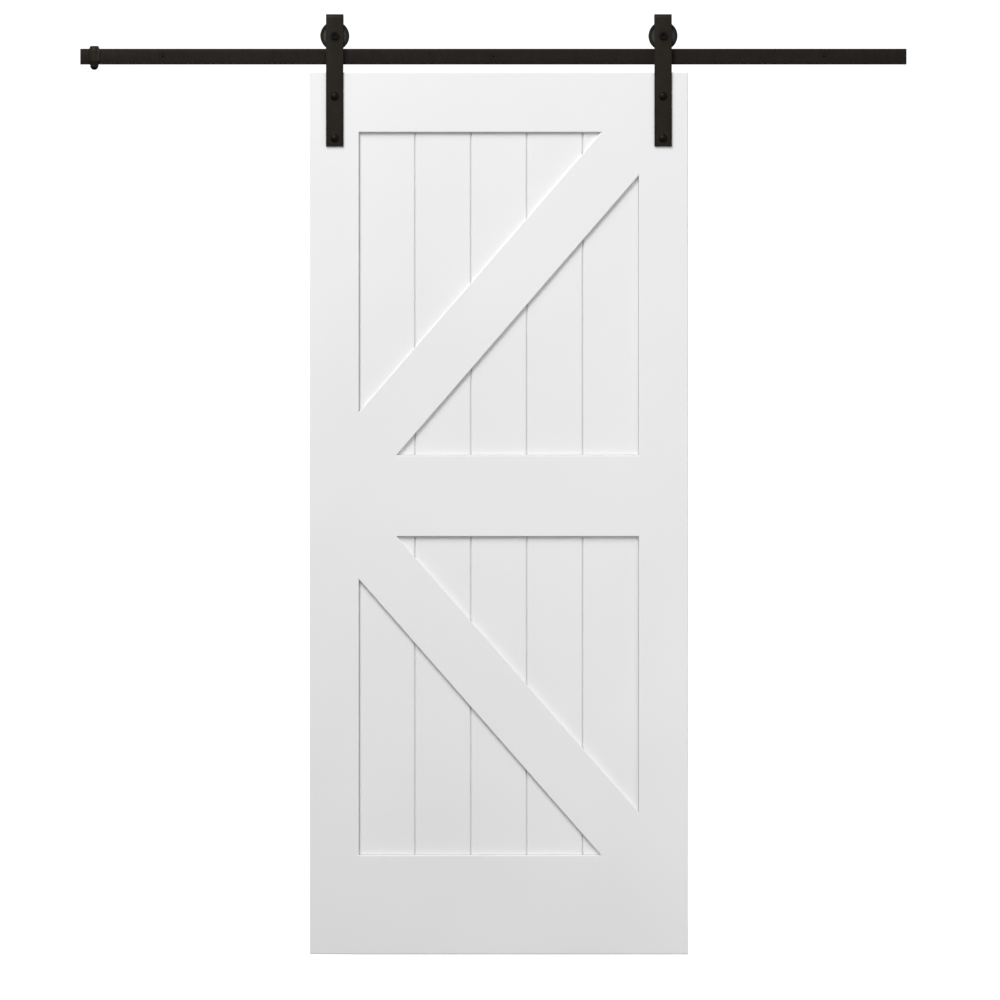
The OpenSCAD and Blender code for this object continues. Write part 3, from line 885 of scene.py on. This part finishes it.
@dataclass
class EndStop:
    """The turned stop over the bar's end, its rubber bumper and its domed locking screw."""

    end_radius: float = 10.0 * MM
    taper: float = 10.0 * MM
    neck: float = 3.5 * MM
    soft: float = 1.2 * MM
    foot_fillet: float = 0.5 * MM
    play: float = 0.2 * MM
    edge: float = 0.35 * MM
    screw_shank: float = 3.9 * MM
    screw_chamfer: float = 0.4 * MM

    def barrel(self, place: Extent, axis: Vector, radius: float) -> Solid:
        """The stop's turned outline, standing on its axis."""
        base, top = place.low.z, place.high.z
        narrow, soft = self.end_radius, self.soft
        profile = rounded([
            (0, base, 0), (narrow, base, self.foot_fillet), (narrow, base + self.neck, soft),
            (radius, base + self.neck + self.taper, soft * 3),
            (radius, top - self.taper, soft * 3), (narrow, top, soft), (0, top, 0),
        ])
        return Solid.turned(profile).rotated(math.pi / 2, "X").moved((axis.x, axis.y, 0))

    def window(self, axis: Vector, reach: float, bar: Extent) -> Solid:
        """The opening that lets the bar through."""
        return Solid.block(
            (axis.x - reach, bar.low.y - self.play, bar.low.z - self.play),
            (axis.x + reach, bar.high.y + self.play, bar.high.z + self.play))

    def dome(self, screw: Extent, seat: float, tip: float) -> Solid:
        """The locking screw: a polished dome below its seat and a shank above it."""
        crown, shank, chamfer = screw.low.z, self.screw_shank, self.screw_chamfer
        profile = ball_cap(crown, screw.size.x / 2, seat - crown, steps=12)
        profile += [(shank, seat), (shank, tip - chamfer), (shank - chamfer, tip), (0, tip)]
        return Solid.turned(profile).rotated(math.pi / 2, "X")

    def build(self, shop: Workshop) -> None:
        """Makes the three pieces."""
        stop, pad, bar = Extent.of("end_stop"), Extent.of("stop_bumper"), Extent.of("bar")
        screw = Extent.of("stop_screw")
        axis = Vector((screw.centre.x, stop.centre.y, 0))
        radius = stop.size.y / 2
        near = (pad.low.x, stop.low.y - PAST, pad.low.z)
        far = (axis.x + 2 * radius, stop.high.y + PAST, pad.high.z + PAST)
        metal, rubber = self.barrel(stop, axis, radius), self.barrel(stop, axis, radius)
        metal.cut(Solid.block(near, far), self.window(axis, 2 * radius, bar))
        shop.place(metal.softened(self.edge), "end_stop", Slot.BRONZE_COAT)
        rubber.combined(Solid.block(near, far), Boolean.KEEP_COMMON)
        rubber.cut(self.window(axis, 2 * radius, bar))
        shop.place(rubber.softened(self.edge * 1.5), "stop_bumper", Slot.BLACK_RUBBER)
        dome = self.dome(screw, stop.low.z, bar.low.z).moved((axis.x, axis.y, 0))
        shop.place(dome, "stop_screw", Slot.BRONZE_FASTENER)


@dataclass
class Hanger:
    """One bent strap with its wheel, axle and door bolts."""

    side: Side
    strap_thickness: float = 5.0 * MM
    bend_radius: float = 9.0 * MM
    rear_leg: float = 20.0 * MM
    strap_edge: float = 0.7 * MM
    axle: float = 12.0 * MM
    axle_play: float = 0.03 * MM
    axle_hole_play: float = 0.25 * MM
    axle_thread: Point = (0.8 * MM, 1.75 * MM)
    axle_thread_ends: Point = (2.0 * MM, 0.6 * MM)
    head_chamfer: float = 1.0 * MM
    head_fillet: float = 0.2 * MM
    shank_fillet: float = 0.3 * MM
    socket: float = 10.0 * MM
    socket_depth: float = 5.0 * MM
    bolt: float = 8.0 * MM
    bolt_lip: float = 0.8 * MM
    bolt_lip_ease: float = 0.15 * MM
    bolt_thread: Point = (0.7 * MM, 1.25 * MM)
    bolt_thread_ends: Point = (14.0 * MM, 0.8 * MM)
    thread_proud: float = 0.02 * MM
    neck: float = 8.4 * MM
    neck_play: float = 0.2 * MM
    neck_edge: float = 0.4 * MM
    nut_play: float = 0.06 * MM
    nut_mouth: float = 0.6 * MM
    nut_ease: float = 0.1 * MM
    nut_slope: float = 0.58
    axle_washer_play: float = 0.5 * MM
    door_washer_play: float = 1.0 * MM
    wheel_bore: float = 16.03 * MM
    hub_wall: float = 4.0 * MM
    lip: float = 2.0 * MM
    flange: float = 4.0 * MM
    flare_slope: float = 0.4
    rim: float = 7.0 * MM
    recess: float = 1.5 * MM
    recess_draft: float = 0.5 * MM
    bearing_half: float = 5.0 * MM
    groove_half: float = 3.7 * MM
    web_fillet: float = 0.7 * MM
    bore_edge: float = 0.4 * MM
    face_edge: float = 0.8 * MM
    tread_edge: float = 0.5 * MM
    rim_edge: float = 1.0 * MM
    mask_margin: float = 0.2 * MM

    def node(self, stem: str) -> str:
        """Name of this hanger's node of a kind."""
        return f"{stem}_{self.side.value}"

    def extent(self, stem: str) -> Extent:
        """Box of this hanger's node of a kind."""
        return Extent.of(self.node(stem))

    def at_axle(self, solid: Solid) -> Solid:
        """Moves a shape from the origin's line to the axle's line."""
        middle = self.extent("wheel").centre
        return solid.moved((middle.x, 0, middle.z))

    def at_bolts(self, shape: Callable[[], Solid]) -> Solid:
        """Joins one shape for each door bolt, made by a function of no arguments."""
        nuts = self.extent("door_nuts")
        middle, half = nuts.centre, (nuts.size.z - self.nut_across_flats()) / 2
        lower = shape().moved((middle.x, 0, middle.z - half))
        return lower.joined(shape().moved((middle.x, 0, middle.z + half)))

    def nut_across_flats(self) -> float:
        """Width of a door nut, whose corners point sideways."""
        return self.extent("door_nuts").size.x / HEX_CORNER

    def strap(self) -> Solid:
        """The flat bar bent over the wheel, with its axle holes and square bolt holes."""
        place, wheel = self.extent("strap"), self.extent("wheel")
        front, back, top, foot = place.low.y, place.high.y, place.high.z, place.low.z
        wall, outer = self.strap_thickness, self.bend_radius
        inner = outer - wall
        heel = wheel.centre.z - self.rear_leg
        outline = rounded([
            (front, foot, 0), (front, top, outer), (back, top, outer), (back, heel, 0),
            (back - wall, heel, 0), (back - wall, top - wall, inner),
            (front + wall, top - wall, inner), (front + wall, foot, 0),
        ], closed=True, steps=10)
        strap = Solid.prism(outline, place.size.x).softened(self.strap_edge, 3, 60.0)
        radius = self.axle / 2 + self.axle_hole_play
        hole = Solid.turned([(0, front - PAST), (radius, front - PAST),
                             (radius, back + PAST), (0, back + PAST)], steps=48)
        strap.moved((place.low.x, 0, 0)).cut(self.at_axle(hole))
        square = self.neck / 2 + self.neck_play
        return strap.cut(self.at_bolts(lambda: Solid.block(
            (-square, front - PAST, -square), (square, front + wall + PAST, square))))

    def axle_bolt(self) -> Solid:
        """A cylindrical head with a hexagonal socket, and a threaded tip."""
        place, strap = self.extent("axle_bolt"), self.extent("strap")
        head, front, seat, tip = place.size.x / 2, place.low.y, strap.low.y, place.high.y
        shank, chamfer = self.axle / 2 - self.axle_play, self.head_chamfer
        profile = rounded([
            (0, front, 0), (head, front, chamfer), (head, seat, self.head_fillet),
            (shank, seat, self.shank_fillet), (shank, tip, chamfer), (0, tip, 0),
        ])
        socket = Solid.hexagon(self.socket, front - PAST, front + self.socket_depth)
        (height, pitch), (lead, tail) = self.axle_thread, self.axle_thread_ends
        ridge = Solid.thread(
            shank + self.thread_proud, height, pitch, strap.high.y + lead, tip - tail)
        return self.at_axle(Solid.turned(profile).cut(socket).joined(ridge))

    def nut(self, place: Extent, across_flats: float, bore: float) -> Solid:
        """A hexagon nut with both faces chamfered, on the origin's line."""
        front, back, hole = place.low.y, place.high.y, bore / 2
        corner, flat = across_flats / 2 * HEX_CORNER, across_flats / 2 - self.nut_ease
        slope = (corner - flat) * self.nut_slope
        mouth = self.nut_mouth
        shell = Solid.turned([
            (hole, front + mouth), (hole + mouth, front), (flat, front), (corner, front + slope),
            (corner, back - slope), (flat, back), (hole + mouth, back), (hole, back - mouth),
        ], closed=True)
        prism = Solid.hexagon(across_flats, front - PAST, back + PAST)
        return shell.combined(prism, Boolean.KEEP_COMMON)

    def washer(self, place: Extent, bore: float) -> Solid:
        """A pressed washer with eased edges, on the origin's line."""
        front, back, hole, radius = place.low.y, place.high.y, bore / 2, place.size.x / 2
        return Solid.turned(rounded([
            (hole, front, 0.1 * MM), (radius, front, 0.2 * MM),
            (radius, back, 0.5 * MM), (hole, back, 0.3 * MM),
        ], closed=True), closed=True)

    def door_bolt(self) -> Solid:
        """A domed bolt with a square neck, on the origin's line."""
        place, strap = self.extent("door_bolts"), self.extent("strap")
        radius, front, seat, tip = place.size.x / 2, place.low.y, strap.low.y, place.high.y
        shank, chamfer, ease = self.bolt / 2, self.head_chamfer, self.bolt_lip_ease
        profile = ball_cap(front, radius, seat - front - self.bolt_lip, steps=14)
        profile += [
            (radius, seat - ease), (radius - ease, seat), (shank, seat),
            (shank, tip - chamfer), (shank - chamfer, tip), (0, tip),
        ]
        half, end = self.neck / 2, seat + self.strap_thickness - self.neck_edge
        neck = Solid.block((-half, seat, -half), (half, end, half)).softened(self.neck_edge)
        (height, pitch), (lead, tail) = self.bolt_thread, self.bolt_thread_ends
        ridge = Solid.thread(shank + self.thread_proud, height, pitch, tip - lead, tip - tail)
        return Solid.turned(profile).joined(neck, ridge)

    def wheel(self) -> Solid:
        """A turned wheel with a groove for the bar, two flanges and a recessed web."""
        place = self.extent("wheel")
        radius, half = place.size.x / 2, place.size.y / 2
        bore, hub, tread = self.wheel_bore, self.wheel_bore + self.hub_wall, radius - self.flange
        rim, web, groove = radius - self.rim, half - self.recess, self.groove_half
        flare, near = groove + self.flare_slope * self.flange, bore - self.lip
        draft, fillet = self.recess_draft, self.web_fillet
        edge, face, crest, foot = self.bore_edge, self.face_edge, self.rim_edge, self.tread_edge
        profile = rounded([
            (bore, -half, edge), (hub, -half, face), (hub + draft, -web, fillet),
            (rim - draft, -web, fillet), (rim, -half, face), (radius, -half, crest),
            (radius, -flare, crest), (tread, -groove, foot), (tread, groove, foot),
            (radius, flare, crest), (radius, half, crest), (rim, half, face),
            (rim - draft, web, fillet), (hub + draft, web, fillet), (hub, half, face),
            (near, half, edge), (near, self.bearing_half, 0), (bore, self.bearing_half, 0),
        ], closed=True)
        return self.at_axle(Solid.turned(profile, closed=True).moved((0, place.centre.y, 0)))

    def sleeves(self) -> Solid:
        """The two tubes that centre the bearing between the strap's legs."""
        place = self.extent("axle_sleeves")
        middle, outer, inner = place.centre.y, place.size.x / 2, self.axle / 2 + self.axle_play
        pair = []
        for near, far in ((-self.bearing_half, place.low.y - middle),
                          (self.bearing_half, place.high.y - middle)):
            profile = rounded([
                (inner, near, 0.2 * MM), (outer, near, 0.4 * MM),
                (outer, far, 0.4 * MM), (inner, far, 0.2 * MM),
            ], closed=True)
            pair.append(Solid.turned(profile, closed=True).moved((0, middle, 0)))
        return self.at_axle(pair[0].joined(pair[1]))

    def build(self, shop: Workshop) -> None:
        """Makes the hanger's pieces."""
        shop.place(self.strap(), self.node("strap"), Slot.BRONZE_COAT)
        wheel = shop.place(self.wheel(), self.node("wheel"), Slot.BRONZE_WHEEL)
        place = self.extent("wheel")
        hub, rim = self.wheel_bore + self.hub_wall, place.size.x / 2 - self.rim
        # Marks the web, where the wheel's coat paints its paler highlight.
        shop.paint(
            wheel, WheelCoat.mask, place.centre, hub - self.mask_margin, rim + self.mask_margin)
        shop.place(self.axle_bolt(), self.node("axle_bolt"), Slot.BRONZE_FASTENER)
        shop.place(self.sleeves(), self.node("axle_sleeves"), Slot.BRIGHT_STEEL)
        washer, nut = self.extent("axle_washer"), self.extent("axle_nut")
        rings, nuts = self.extent("door_washers"), self.extent("door_nuts")
        ring_bore = self.bolt + self.door_washer_play
        nut_size, nut_bore = self.nut_across_flats(), self.bolt + self.nut_play
        fasteners = {
            "axle_washer": self.at_axle(self.washer(washer, self.axle + self.axle_washer_play)),
            "axle_nut": self.at_axle(self.nut(nut, nut.size.z, self.axle)),
            "door_bolts": self.at_bolts(self.door_bolt),
            "door_washers": self.at_bolts(lambda: self.washer(rings, ring_bore)),
            "door_nuts": self.at_bolts(lambda: self.nut(nuts, nut_size, nut_bore)),
        }
        for stem, solid in fasteners.items():
            shop.place(solid, self.node(stem), Slot.BRONZE_FASTENER)
        bearing = ("inner_ring", "outer_ring", "bearing_balls", "ball_cage", "bearing_shields")
        shop.keep((self.node(stem) for stem in bearing), Slot.BRIGHT_STEEL)


# ---- studio


@dataclass(frozen=True)
class Softbox:
    """A rectangular lamp, placed from the middle of the leaf's top edge."""

    name: str
    place: Corner
    size: Point
    aim: float
    power: float

    def build(self, top: Vector) -> None:
        """Makes the lamp and turns it to a point at the height aim on the leaf."""
        data = bpy.data.lights.new(self.name, "AREA")
        data.shape = "RECTANGLE"
        data.size, data.size_y = self.size
        data.energy = self.power
        lamp = bpy.data.objects.new(self.name, data)
        lamp.location = top + Vector(self.place)
        way = top + Vector((0, 0, self.aim)) - lamp.location
        lamp.rotation_euler = way.to_track_quat("-Z", "Y").to_euler()
        bpy.context.scene.collection.objects.link(lamp)


@dataclass
class Studio:
    """A pale floor, soft light from above the front left, and a long-lens camera."""

    view_width: float = 2.4192
    view_right: float = 0.0027
    view_up: float = 0.0325
    lens_mm: float = 300.0
    sensor_mm: float = 36.0
    sight: float = 200.0
    floor_gap: float = 0.012
    floor_radius: float = 14.0
    floor_seen: float = 0.86
    floor_glow: float = 0.80
    floor_bounce: float = 0.16
    backdrop: float = 1.1
    horizon: float = 0.77
    zenith: float = 0.25
    sky_band: Point = (0.35, 0.85)
    key: Softbox = Softbox("key", (-2.15, -4.6, 4.4), (3.4, 4.6), -0.4, 414.0)
    fill: Softbox = Softbox("fill", (1.6, -1.4, -1.9), (1.0, 1.2), -1.9, 9.3)

    def camera(self, leaf: Extent) -> None:
        """Looks straight at the leaf from far away."""
        data = bpy.data.cameras.new("camera")
        data.lens = self.lens_mm
        data.sensor_width = self.sensor_mm
        data.clip_end = self.sight
        distance = self.view_width * self.lens_mm / data.sensor_width
        camera = bpy.data.objects.new("camera", data)
        camera.location = (
            leaf.centre.x + self.view_right, leaf.low.y - distance, leaf.centre.z + self.view_up)
        camera.rotation_euler = (math.pi / 2, 0, 0)
        bpy.context.scene.collection.objects.link(camera)
        bpy.context.scene.camera = camera

    def floor(self, leaf: Extent) -> None:
        """A plain round floor just below the hanging leaf, which looks pale and reflects little."""
        disc = Solid()
        height = leaf.low.z - self.floor_gap
        bmesh.ops.create_circle(
            disc.mesh, cap_ends=True, segments=128, radius=self.floor_radius,
            matrix=Matrix.Translation((0, 0, height)))
        piece = disc.as_object("floor")
        graph = ShaderGraph("pale_floor")
        seen = graph.seen()
        graph.set(base_color=graph.mixed(seen, (self.floor_bounce,) * 3, (self.floor_seen,) * 3))
        graph.set(emission_color=graph.mixed(seen, (0.0,) * 3, (self.floor_glow,) * 3))
        graph.set(emission_strength=1.0, roughness=0.9, specular_ior_level=0.0)
        piece.data.materials.append(graph.material)

    def surround(self) -> None:
        """A white backdrop whose light comes mostly from the sides, less from straight above."""
        world = bpy.data.worlds.new("surround")
        world.use_nodes = True
        graph = NodeGraph(world.node_tree)
        way = graph.node("ShaderNodeTexCoord").outputs["Generated"]
        rise = Term(graph, graph.node("ShaderNodeSeparateXYZ", inputs={0: way}).outputs["Z"])
        light = self.horizon + rise.between(*self.sky_band) * (self.zenith - self.horizon)
        seen = graph.seen()
        strength = light * (1.0 - seen) + seen * self.backdrop
        inputs = {"Color": (1.0, 1.0, 1.0), "Strength": strength}
        background = graph.node("ShaderNodeBackground", inputs=inputs)
        graph.node("ShaderNodeOutputWorld", inputs={"Surface": background.outputs[0]})
        bpy.context.scene.world = world

    def build(self) -> None:
        """Sets up the whole studio."""
        left, right = Extent.of("stile_left"), Extent.of("stile_right")
        leaf = Extent(left.low, right.high)
        self.camera(leaf)
        self.floor(leaf)
        self.surround()
        top = Vector((leaf.centre.x, leaf.low.y, leaf.high.z))
        for lamp in (self.key, self.fill):
            lamp.build(top)
        bpy.context.scene.view_settings.view_transform = "Standard"
        LOG.info("studio: camera, floor, surround and two softboxes")


def main() -> None:
    """Builds the finishes, the pieces and the studio, in that order."""
    logging.basicConfig(level=logging.INFO, format="%(name)s: %(message)s")
    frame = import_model()
    shop = Workshop(frame, Finishes())
    Studio().build()
    DoorLeaf().build(shop)
    TrackBar().build(shop)
    EndStop().build(shop)
    for side in Side:
        Hanger(side).build(shop)


if __name__ == "__main__":
    main()
